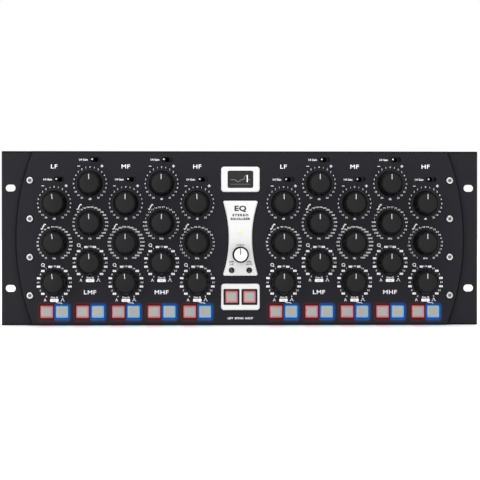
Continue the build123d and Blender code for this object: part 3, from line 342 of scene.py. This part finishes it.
def spill_light(shader):
    """Painted light that spills from the band buttons' windows onto the paint beside them, and a painted dark seam
    right round each window.
    """
    beside = column_offset(shader)
    straight = WINDOW / 2 - SPILL_CORNER
    rise = shader.minus(shader.axis("Z"), BUTTON_Z)
    sideways = shader.math("ABSOLUTE", shader.minus(shader.math("ABSOLUTE", beside), BUTTON_DX))
    across = shader.minus(sideways, straight)
    above = shader.minus(rise, straight)
    below = shader.times(shader.minus(shader.times(rise, -1.0), straight), 0.75)
    across = shader.math("MAXIMUM", across, 0.0)
    upright = shader.math("MAXIMUM", shader.math("MAXIMUM", above, below), 0.0)
    squares = shader.plus(shader.times(across, across), shader.times(upright, upright))
    outside = shader.minus(shader.math("SQRT", squares), SPILL_CORNER)
    near_blue = shader.spread(beside, 0.0, 1.0, -0.3 * MM, 0.3 * MM)
    fade = shader.spread(near_blue, 3.0, 4.2, 0.0, 1.0)
    spill = shader.math("POWER", shader.spread(outside, 1.0, 0.0, 0.0, 4.5 * MM), fade)
    # painted shade: a dark seam right round each window
    shade(shader, shader.spread(outside, 0.95, 0.0, 0.1 * MM, 0.7 * MM), (0.0008, 0.0008, 0.0008))
    # painted light spilling from the windows, red beside the red caps and blue beside the blue ones
    shader.set("Emission Color", shader.mix(near_blue, (0.090, 0.0, 0.002, 1), (0.0, 0.095, 0.420, 1)))
    shader.set("Emission Strength", shader.times(spill, shader.spread(shader.noise(5 * MM), 0.85, 1.15)))


spill_light(panel)

SLOT_MATERIALS = {
    "panel_paint": panel_paint, "white_plate": white_enamel, "case_paint": case_paint,
    "plated_steel": plated_steel, "switch_plastic": black_nylon, "board": board_green,
    "winding_tape": winding_tape, "nickel": nickel, "inlet_plastic": black_nylon,
    "screw_steel": screw_steel, "rocker_plastic": rocker_gloss, "knob_plastic": knob_plastic,
    "lever_chrome": lever_chrome, "lever_black": lever_black, "red_cap": red_cap, "blue_cap": blue_cap,
}
for row in frame["record"]["subparts"]:
    for slot in nodes[row["node"]].material_slots:
        slot.material = SLOT_MATERIALS[row["material_slot"]]


# ================================================================ mesh helpers
def piece(name, verts, polygons, material, slot, body=ROOT, smooth_angle=None):
    """A piece from plain geometry, its faces turned outwards, riding on a body."""
    mesh = bpy.data.meshes.new(name)
    mesh.from_pydata(verts, [], polygons)
    edit = bmesh.new()
    edit.from_mesh(mesh)
    bmesh.ops.recalc_face_normals(edit, faces=edit.faces)
    edit.to_mesh(mesh)
    edit.free()
    mesh.materials.append(material)
    if smooth_angle is not None:
        mesh.shade_smooth()
        mesh.set_sharp_from_angle(angle=math.radians(smooth_angle))
    made = bpy.data.objects.new(name, mesh)
    bpy.context.scene.collection.objects.link(made)
    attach(made, body)
    return made


def strip(left, right, thick, closed=False):
    """Closed solid between two rails of flat (u, v) points, `thick` high."""
    count = len(left)
    verts = [(u, v, h) for h in (0.0, thick) for rail in (left, right) for u, v in rail]
    polygons = []
    for i in range(count if closed else count - 1):
        j = (i + 1) % count
        a, b, c, d = i, j, count + j, count + i
        top = 2 * count
        polygons += [(a, b, c, d), (a + top, d + top, c + top, b + top)]
        polygons += [(a, a + top, b + top, b), (d, c, c + top, d + top)]
    if not closed:
        last = count - 1
        polygons += [(0, count, 3 * count, 2 * count), (last, last + 2 * count, last + 3 * count, last + count)]
    return verts, polygons


def arc(radius, start, end, steps):
    """Points on a circle; angles in degrees, clockwise from the top."""
    angles = [math.radians(start + (end - start) * i / steps) for i in range(steps + 1)]
    return [(radius * math.sin(a), radius * math.cos(a)) for a in angles]


def stroke(points, width, thick):
    """Solid line of even width along flat points."""
    left, right = [], []
    for i, (u, v) in enumerate(points):
        before, after = points[max(i - 1, 0)], points[min(i + 1, len(points) - 1)]
        along = Vector((after[0] - before[0], after[1] - before[1])).normalized() * width / 2
        left.append((u - along.y, v + along.x))
        right.append((u + along.y, v - along.x))
    return strip(left, right, thick)


def smooth(points, steps=6):
    """Points of a Catmull-Rom curve through the given ones."""
    ends = [points[0]] + list(points) + [points[-1]]
    made = []
    for p0, p1, p2, p3 in zip(ends, ends[1:], ends[2:], ends[3:]):
        for i in range(steps):
            t = i / steps
            made.append(tuple(0.5 * (2 * b + (c - a) * t + (2 * a - 5 * b + 4 * c - d) * t * t
                                     + (3 * b - a - 3 * c + d) * t ** 3)
                              for a, b, c, d in zip(p0, p1, p2, p3)))
    return made + [points[-1]]


def rounded_outline(width, height, radius, steps=6):
    """Rounded rectangle round the origin."""
    points = []
    for sx, sy, start in ((1, 1, 0), (1, -1, 90), (-1, -1, 180), (-1, 1, 270)):
        centre = (sx * (width / 2 - radius), sy * (height / 2 - radius))
        points += [(centre[0] + u, centre[1] + v) for u, v in arc(radius, start, start + 90, steps)]
    return points


def flat_solid(outline, thick):
    """Closed slab with a flat outline."""
    count = len(outline)
    verts = [(u, v, h) for h in (0.0, thick) for u, v in outline]
    sides = [(i, (i + 1) % count, count + (i + 1) % count, count + i) for i in range(count)]
    return verts, [tuple(range(count)), tuple(range(count, 2 * count))] + sides


CAP_RATIO = 0.73  # capital height of the built-in font at size 1
INK = 0.03 * MM
_text_cache = {}


def lettering(text, height, thick, bold=0.0, spacing=1.0, wide=1.0):
    """Solid text centred on the origin; height is a capital's, wide stretches the letters sideways."""
    key = (text, bold, spacing)
    if key not in _text_cache:
        curve = bpy.data.curves.new("text", "FONT")
        curve.body, curve.size, curve.offset, curve.space_character = text, 1.0, bold, spacing
        curve.align_x, curve.resolution_u = "CENTER", 2
        holder = bpy.data.objects.new("text", curve)
        mesh = bpy.data.meshes.new_from_object(holder)
        flat = [(v.co.x, v.co.y) for v in mesh.vertices]
        polygons = [tuple(p.vertices) for p in mesh.polygons]
        bpy.data.meshes.remove(mesh)
        bpy.data.objects.remove(holder)
        bpy.data.curves.remove(curve)
        middle_u = (min(p[0] for p in flat) + max(p[0] for p in flat)) / 2
        _text_cache[key] = [(u - middle_u, v - CAP_RATIO / 2) for u, v in flat], polygons
    flat, polygons = _text_cache[key]
    scale = height / CAP_RATIO
    count = len(flat)
    verts = [(u * scale * wide, v * scale, h) for h in (0.0, thick) for u, v in flat]
    edges = dict.fromkeys(edge for polygon in polygons for edge in zip(polygon, polygon[1:] + polygon[:1]))
    sides = [(a, b, b + count, a + count) for a, b in edges if (b, a) not in edges]
    return verts, polygons + [tuple(i + count for i in p) for p in polygons] + sides


class Print:
    """Ink on a flat face: many small solids joined into one piece. u runs to the reader's right."""

    def __init__(self, y, out):
        self.y, self.out = y, out
        self.verts, self.polygons = [], []

    def put(self, solid, x, z, turn=0.0):
        c, s = math.cos(math.radians(turn)), math.sin(math.radians(turn))
        base = len(self.verts)
        for u, v, h in solid[0]:
            across, up = u * c + v * s, v * c - u * s
            self.verts.append((x - self.out * across, self.y + self.out * h, z + up))
        self.polygons += [tuple(i + base for i in polygon) for polygon in solid[1]]

    def text(self, words, x, z, height, bold=0.0, spacing=1.0, wide=1.0):
        self.put(lettering(words, height, INK, bold, spacing, wide), x, z)

    def line(self, points, x, z, width):
        self.put(stroke(points, width, INK), x, z)

    def finish(self, name, material, slot, body=ROOT):
        return piece(name, self.verts, self.polygons, material, slot, body)


# ================================================================ knobs: pointers
GROOVE_DEEP, GROOVE_LEFT = 0.3 * MM, 0.02 * MM  # the paint stays a little below the knob's top
POINTER_IN, POINTER_OUT, POINTER_HALF = 3.92 * MM, 9.08 * MM, 0.39 * MM
# how far some knobs stand turned from twelve o'clock, clockwise as the user sees them
STORED_TURN = {
    "left_lf": -8, "left_lmf": -2, "left_mf_q": -5, "left_hf_gain": -3,
    "left_mhf_freq": 2, "right_lf_gain": -2, "right_mhf_freq": -2, "right_hf_gain": 1.5,
}


def knob_spot(bank, band, control):
    centre = middle(f"{bank}_{band}_{control}_knob")
    return centre.x, centre.z


for bank in BANKS:
    for band in BANDS:
        for control in ("gain", "freq", "q"):
            node = f"{bank}_{band}_{control}_knob"
            turn = STORED_TURN.get(f"{bank}_{band}_{control}", STORED_TURN.get(f"{bank}_{band}", 0))
            bar = [(-POINTER_HALF, POINTER_IN), (POINTER_HALF, POINTER_IN),
                   (POINTER_HALF, POINTER_OUT), (-POINTER_HALF, POINTER_OUT)]
            inlay = Print(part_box(node)[0].y + GROOVE_DEEP, -1)
            inlay.put(flat_solid(bar, GROOVE_DEEP - GROOVE_LEFT), *knob_spot(bank, band, control), turn)
            inlay.finish(f"{node}_pointer", pointer_paint, "knob_plastic", node)

# centre knob: white disc let into the top, with its hand
dial = middle("interval_knob")
dial_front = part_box("interval_knob")[0].y
DISC_R, DISC_T = 6.62 * MM, 0.34 * MM
DISC_SEAT = dial_front + 0.4 * MM
HAND_TURN = -5.0
disc = Print(DISC_SEAT, -1)
disc.put(flat_solid(arc(DISC_R, 0, 360, 72)[:-1], DISC_T), dial.x, dial.z)
disc.finish("interval_knob_disc", white_enamel, "white_plate", "interval_knob")
hand = Print(DISC_SEAT - DISC_T, -1)
hand.put(stroke([(0, -0.2 * MM), (0, 6.4 * MM)], 0.85 * MM, INK), dial.x, dial.z, HAND_TURN)
hand.finish("interval_knob_hand", black_ink, "knob_plastic", "interval_knob")

# ================================================================ front legends
white = Print(FACE_Y, -1)  # on the raised face
grey = Print(FACE_Y, -1)
dark = Print(FACE_Y - 2 * INK, -1)  # words on white boxes
BOX_T = 1.5 * INK

DIAL_SWEEP = 150.0
SCALE_R, TICK_R, SCALE_W = 13.7 * MM, 14.4 * MM, 0.16 * MM
STEP_ANGLES = [15.0 * k for k in range(-10, 11)]
GAIN_STEPS = [0, 1, 2, 3, 4, 5, 6, 8, 10, 14, 20]  # from the middle outwards, both ways
Q_STEPS = [".4", ".45", ".5", ".56", ".63", ".7", ".8", ".9", "1", "1.1", "1.25",
           "1.4", "1.6", "1.8", "2", "2.2", "2.5", "2.8", "3.2", "3.6", "4"]
FREQ_RANGE = {"lf": (15, 700), "lmf": (20, 1500), "mf": (160, 7000), "mhf": (400, 15000), "hf": (1000, 26000)}
KILOHERTZ_FROM = 400  # bands that start here or above are marked in kilohertz
CURL = [(2.5, 1.5), (2.2, 2.3), (1.5, 2.4), (0.8, 1.4), (-0.4, -1.4), (-0.9, -2.4), (-1.7, -2.6), (-2.2, -1.9)]
TAIL = [(1.5, -19.7), (3.5, -20.8), (7.0, -20.8), (7.9, -21.9)]


def millimetres(points):
    return [(u * MM, v * MM) for u, v in points]


def frequency_words(low, high, count=24):
    """Even musical steps from low to high, two figures each, in hertz or kilohertz."""
    words = []
    for i in range(count):
        value = low * (high / low) ** (i / (count - 1))
        digits = 10 ** (math.floor(math.log10(value)) - 1)
        value = round(value / digits) * digits
        words.append(f"{value / 1000:g}" if low >= KILOHERTZ_FROM else f"{value:g}")
    return words


def scale_ring(x, z, angles):
    """Printed arc with a tick at each angle."""
    grey.line(arc(SCALE_R, -DIAL_SWEEP, DIAL_SWEEP, 60), x, z, SCALE_W)
    for angle in angles:
        grey.put(stroke([(0, SCALE_R), (0, TICK_R)], SCALE_W, INK), x, z, angle)


def around(x, z, radius, angle):
    """The point at a radius and a clockwise angle from the top of (x, z)."""
    return x + radius * math.sin(math.radians(angle)), z + radius * math.cos(math.radians(angle))


def bell(x, z, width, height):
    """Little response curve standing on its base line."""
    points = []
    for i in range(21):
        t = -1 + i / 10
        points.append((t * width / 2, height * (math.exp(-(t * 2.4) ** 2) - 0.5)))
    white.line(points, x, z, 0.45 * MM)


def gain_legend(x, z):
    scale_ring(x, z, STEP_ANGLES)
    for k, angle in zip(range(-10, 11), STEP_ANGLES):
        white.text(str(GAIN_STEPS[abs(k)]), *around(x, z, 16.6 * MM, angle), 1.7 * MM, bold=0.004, wide=1.15)
    dash = [(-1.3 * MM, 0), (1.3 * MM, 0)]
    white.line(dash, x - 11.5 * MM, z + 17.5 * MM, 0.5 * MM)
    white.line(dash, x + 12.0 * MM, z + 17.6 * MM, 0.8 * MM)
    white.line([(0, -1.3 * MM), (0, 1.3 * MM)], x + 12.0 * MM, z + 17.6 * MM, 0.8 * MM)
    white.text("dB", x, z - 15.6 * MM, 1.9 * MM, bold=0.02)
    white.text("1/4 Gain", x - 6.6 * MM, z + 24.1 * MM, 2.0 * MM, bold=0.015, spacing=0.98)


def frequency_legend(x, z, low, high):
    words = frequency_words(low, high)
    angles = [-DIAL_SWEEP + 2 * DIAL_SWEEP * i / (len(words) - 1) for i in range(len(words))]
    scale_ring(x, z, angles)
    for word, angle in zip(words, angles):
        spot = around(x, z - 0.6 * MM, 16.8 * MM, angle)
        white.text(word, *spot, 1.6 * MM, bold=0.012, spacing=0.95, wide=1.1)
    white.line(smooth(millimetres(CURL)), x - 11.2 * MM, z + 16.4 * MM, 0.8 * MM)
    white.line([(-0.9 * MM, 0), (1.3 * MM, 0)], x - 11.2 * MM, z + 16.8 * MM, 0.45 * MM)
    white.text("kHz" if low >= KILOHERTZ_FROM else "Hz", x, z - 15.6 * MM, 1.9 * MM, bold=0.015)


def q_legend(x, z):
    """Every second number stands dark on a white box."""
    scale_ring(x, z, STEP_ANGLES)
    for i, (word, angle) in enumerate(zip(Q_STEPS, STEP_ANGLES)):
        spot = around(x, z, 16.3 * MM, angle)
        if i % 2:
            white.put(flat_solid(rounded_outline(3.5 * MM, 2.0 * MM, 0.3 * MM, 3), BOX_T), *spot)
            dark.text(word, *spot, 1.1 * MM, spacing=0.9)
        else:
            white.text(word, *spot, 1.6 * MM, bold=0.010, spacing=0.95, wide=1.1)
    white.line(arc(1.5 * MM, 0, 360, 24), x - 11.4 * MM, z + 17.6 * MM, 0.55 * MM)
    white.line([(0.4 * MM, -0.7 * MM), (1.8 * MM, -2.1 * MM)], x - 11.4 * MM, z + 17.6 * MM, 0.6 * MM)
    white.text("Con Q", x, z - 15.2 * MM, 1.7 * MM, bold=0.03, wide=1.1)
    white.put(flat_solid(rounded_outline(8.5 * MM, 2.9 * MM, 0.5 * MM, 3), BOX_T), x, z - 18.2 * MM)
    dark.text("Prop", x, z - 18.2 * MM, 1.2 * MM)
    bell(x - 9.3 * MM, z - 17.8 * MM, 2.6 * MM, 2.4 * MM)
    bell(x + 8.4 * MM, z - 17.5 * MM, 4.0 * MM, 3.0 * MM)


for bank in BANKS:
    for band in BANDS:
        gain_legend(*knob_spot(bank, band, "gain"))
        frequency_legend(*knob_spot(bank, band, "freq"), *FREQ_RANGE[band])
        x, z = knob_spot(bank, band, "q")
        q_legend(x, z)
        low_column = band in ("lf", "mf", "hf")
        if low_column:
            white.line(millimetres(TAIL), x, z, 0.5 * MM)
        name_z = MID_Z + (72.7 if low_column else -54.5) * MM
        white.text(band.upper(), x, name_z, 4.2 * MM, bold=0.008, spacing=1.10, wide=1.22)

white.text("LEFT  BYPASS  RIGHT", 0, MID_Z - 81 * MM, 1.9 * MM, bold=0.015, spacing=1.06)
white.finish("front_legends", white_ink, "panel_paint")
grey.finish("front_scales", grey_ink, "panel_paint")
dark.finish("front_numerals", black_ink, "panel_paint")

# painted shadow: a dark line along the raised middle's curved ends, just inside their edge
ARC_R, ARC_APEX = 242.0 * MM, 227.5 * MM  # radius of an end, and how far out it reaches
LINE_IN, LINE_W = 0.75 * MM, 1.3 * MM
painted_shadow_line = Print(FACE_Y, -1)
half_angle = math.degrees(math.asin((PANEL_H / 2 - 0.4 * MM) / ARC_R))
for turn in (90, -90):
    rail = arc(ARC_R - LINE_IN, turn - half_angle, turn + half_angle, 48)
    painted_shadow_line.line(rail, math.copysign(ARC_R - ARC_APEX, -turn), MID_Z, LINE_W)
painted_shadow_line.finish("painted_shadow_lines", painted_shadow_black, "panel_paint")

# ================================================================ centre pieces
BADGE_Z = MID_Z + 59.6 * MM
inset = Print(FACE_Y + 1.0 * MM, -1)
inset.put(flat_solid(rounded_outline(25.9 * MM, 17.4 * MM, 1.75 * MM), 1.6 * MM), 0, BADGE_Z)
inset.finish("badge_inset", dark_acrylic, "panel_paint")
badge_face = FACE_Y - 0.6 * MM
curve = Print(badge_face, -1)
response = []  # a dip and a sharp peak
for i in range(61):
    t = -1 + i / 30
    rise = 4.6 * math.exp(-((t - 0.55) / 0.16) ** 2) - 2.2 * math.exp(-((t + 0.25) / 0.2) ** 2)
    response.append((t * 10.0 * MM, (rise - 0.4) * MM))
curve.line(response, 0, BADGE_Z, 0.4 * MM)
curve.line([(-10 * MM, -0.4 * MM), (10 * MM, -0.4 * MM)], 0, BADGE_Z - 4.5 * MM, 0.2 * MM)
curve.finish("badge_curve", display_ink, "panel_paint")
cursor = Print(badge_face - 2 * INK, -1)
cursor.line([(0, -3.6 * MM), (0, 3.6 * MM)], 6.9 * MM, BADGE_Z + 0.8 * MM, 1.0 * MM)
cursor.finish("badge_cursor", white_ink, "panel_paint")

plate = Print(PLATE_Y, -1)
plate.text("EQ", 0, MID_Z + 30.4 * MM, 5.3 * MM, bold=0.045, spacing=1.06, wide=1.26)
plate.text("STEREO", 0, MID_Z + 23.5 * MM, 2.3 * MM, bold=0.06, spacing=1.32, wide=1.2)
plate.text("EQUALIZER", 0, MID_Z + 19.7 * MM, 2.2 * MM, bold=0.06, spacing=1.12, wide=1.15)
plate.text("INTERVAL", dial.x, dial.z + 9.7 * MM, 1.3 * MM, bold=0.02)
TOGGLE_DZ = -32.4
for side, words in (("left", ("LINK", "L+R")), ("right", ("LINK", "AUTO"))):
    x = middle(f"{side}_link_toggle").x
    for word, lift in zip(words, (8.7, 6.1)):
        plate.text(word, x, MID_Z + (TOGGLE_DZ + lift) * MM, 1.7 * MM, bold=0.035)


def square_ring(outer, outer_radius, inner, inner_radius, thick):
    """Flat square ring with rounded corners."""
    return strip(rounded_outline(outer, outer, outer_radius), rounded_outline(inner, inner, inner_radius),
                 thick, True)


for side in BANKS:
    window = middle(f"{side}_bypass_button")
    plate.put(square_ring(16.1 * MM, 1.2 * MM, 14.5 * MM, 0.9 * MM, INK), window.x, window.z)
plate.finish("centre_legends", black_ink, "white_plate")


def dome(x, y, z, radius, height, barrel=2.4 * MM, rings=6, segments=40):
    """Shallow lens on a short barrel, facing the user."""
    verts, polygons = [], []
    profile = [(radius, -barrel)]
    profile += [(radius * math.cos(math.radians(a)), height * math.sin(math.radians(a)))
                for a in [90 * i / rings for i in range(rings)]]
    for r, out in profile:
        turns = [2 * math.pi * i / segments for i in range(segments)]
        verts += [(x + r * math.sin(turn), y - out, z + r * math.cos(turn)) for turn in turns]
    for ring in range(len(profile) - 1):
        for i in range(segments):
            j = (i + 1) % segments
            a, b = ring * segments, (ring + 1) * segments
            polygons.append((a + i, a + j, b + j, b + i))
    verts.append((x, y - height, z))
    last = (len(profile) - 1) * segments
    polygons += [(last + i, last + (i + 1) % segments, len(verts) - 1) for i in range(segments)]
    polygons.append(tuple(range(segments)))
    return verts, polygons


piece("status_lamp", *dome(0, PLATE_Y, MID_Z + 5.7 * MM, 1.52 * MM, 0.7 * MM), lamp_lens, "red_cap",
      smooth_angle=50)


# ================================================================ painted light round the buttons
def glow_ring(name, x, z, sink, material, slot):
    """Thin square ring sunk in the gap between a window and its cap, glowing as painted light."""
    ring = Print(FACE_Y + sink, -1)
    ring.put(square_ring(14.3 * MM, 0.95 * MM, 13.0 * MM, 0.8 * MM, 0.3 * MM), x, z)
    ring.finish(name, material, slot)


for bank in BANKS:
    for band in BANDS:
        column = knob_spot(bank, band, "q")[0]
        for side, material, slot in ((-1, red_glow, "red_cap"), (1, blue_glow, "blue_cap")):
            colour = slot.removesuffix("_cap")
            glow_ring(f"{bank}_{band}_{colour}_glow", column + side * BUTTON_DX, BUTTON_Z, 0.75 * MM,
                      material, slot)
for side in BANKS:
    cap = middle(f"{side}_bypass_button")
    glow_ring(f"{side}_bypass_glow", cap.x, cap.z, 1.6 * MM, dim_glow, "red_cap")

# ================================================================ rear legends
rear = Print(REAR_Y, 1)
XLR_X = {"INPUT LEFT": -60, "INPUT RIGHT": -98, "OUTPUT LEFT": -146, "OUTPUT RIGHT": -184}
for words, x in XLR_X.items():
    rear.text(words, x * MM, 134 * MM, 2.6 * MM, bold=0.01)
rear.text("POWER", 180 * MM, 136 * MM, 3.0 * MM, bold=0.01)
rear.text("MAINS", 180 * MM, 57 * MM, 3.0 * MM, bold=0.01)
for words, x in (("INPUTS", -79), ("OUTPUTS", -165)):
    rear.text(words, x * MM, 143 * MM, 3.4 * MM, bold=0.02)
    rear.line([(-31 * MM, 0), (31 * MM, 0)], x * MM, 139.5 * MM, 0.4 * MM)
rear.finish("rear_legends", white_ink, "case_paint")

# ================================================================ stage, light and camera
scene = bpy.context.scene
scene.view_settings.view_transform = "Standard"


def stage_plane(name, size, material):
    mesh = bpy.data.meshes.new(name)
    half = size / 2
    mesh.from_pydata([(-half, -half, 0), (half, -half, 0), (half, half, 0), (-half, half, 0)], [], [(0, 1, 2, 3)])
    mesh.materials.append(material)
    made = bpy.data.objects.new(name, mesh)
    scene.collection.objects.link(made)
    return made


def floor_material():
    """White sweep with painted light from the buttons close in front of the panel, and a painted shadow along the
    panel's foot.
    """
    shader = Shader("floor", Roughness=0.30, Emission_Strength=0.35)
    beside = column_offset(shader)
    painted_light_tint = shader.mix(shader.spread(beside, 0.0, 1.0, -3 * MM, 3 * MM), (0.94, 0.66, 0.76, 1), (0.66, 0.88, 1.0, 1))
    near_column = shader.spread(shader.math("ABSOLUTE", beside), 1.0, 0.0, 13 * MM, 17 * MM)
    ahead = shader.spread(shader.axis("Y"), 0.0, 1.0, FACE_Y - 55 * MM, FACE_Y - 8 * MM)
    under = shader.spread(shader.axis("Y"), 1.0, 0.0, FACE_Y, FACE_Y + 40 * MM)
    near_panel = shader.times(ahead, under)
    between = shader.spread(shader.math("ABSOLUTE", shader.axis("X")), 1.0, 0.0, 225 * MM, 275 * MM)
    fine = shader.spread(shader.noise(2 * MM, 3.0), 0.90, 0.93)
    white = shader.node("ShaderNodeCombineColor", {"Red": fine, "Green": fine, "Blue": fine}).outputs[0]
    # painted light from the buttons on the floor in front of them
    tone = shader.mix(shader.times(near_column, near_panel), white, painted_light_tint)
    # painted shadow along the panel's foot
    shadow = shader.times(shader.times(near_panel, between), 0.20)
    tone = shader.mix(shadow, tone, (0.30, 0.30, 0.31, 1))
    shader.set("Base Color", tone)
    shader.set("Emission Color", tone)
    return shader.material


stage_plane("floor", 30.0, floor_material()).location.z = -0.5 * MM


def light(name, place, target, size, power):
    data = bpy.data.lights.new(name, "AREA")
    data.shape, data.size, data.size_y, data.energy = "RECTANGLE", *size, power
    lamp = bpy.data.objects.new(name, data)
    lamp.location = place
    lamp.rotation_euler = (Vector(target) - Vector(place)).to_track_quat("-Z", "Y").to_euler()
    scene.collection.objects.link(lamp)


light("top_softbox", (0.0, -0.9, 1.9), (0, -0.1, 0.05), (2.4, 1.2), 27)
light("left_softbox", (-1.6, -1.2, 0.8), (0, -0.1, 0.08), (1.0, 1.4), 15)

world = bpy.data.worlds.new("studio")
world.use_nodes = True
world.node_tree.nodes["Background"].inputs["Color"].default_value = (1, 1, 1, 1)
world.node_tree.nodes["Background"].inputs["Strength"].default_value = 1.0
scene.world = world

camera_data = bpy.data.cameras.new("camera")
camera_data.lens = 118.5
camera_data.sensor_width = 36
camera = bpy.data.objects.new("camera", camera_data)
camera.location = (-0.040, -1.73925, 0.096)
camera.rotation_euler = (math.radians(90 - 0.347), 0, math.radians(-1.417))
scene.collection.objects.link(camera)
scene.camera = camera
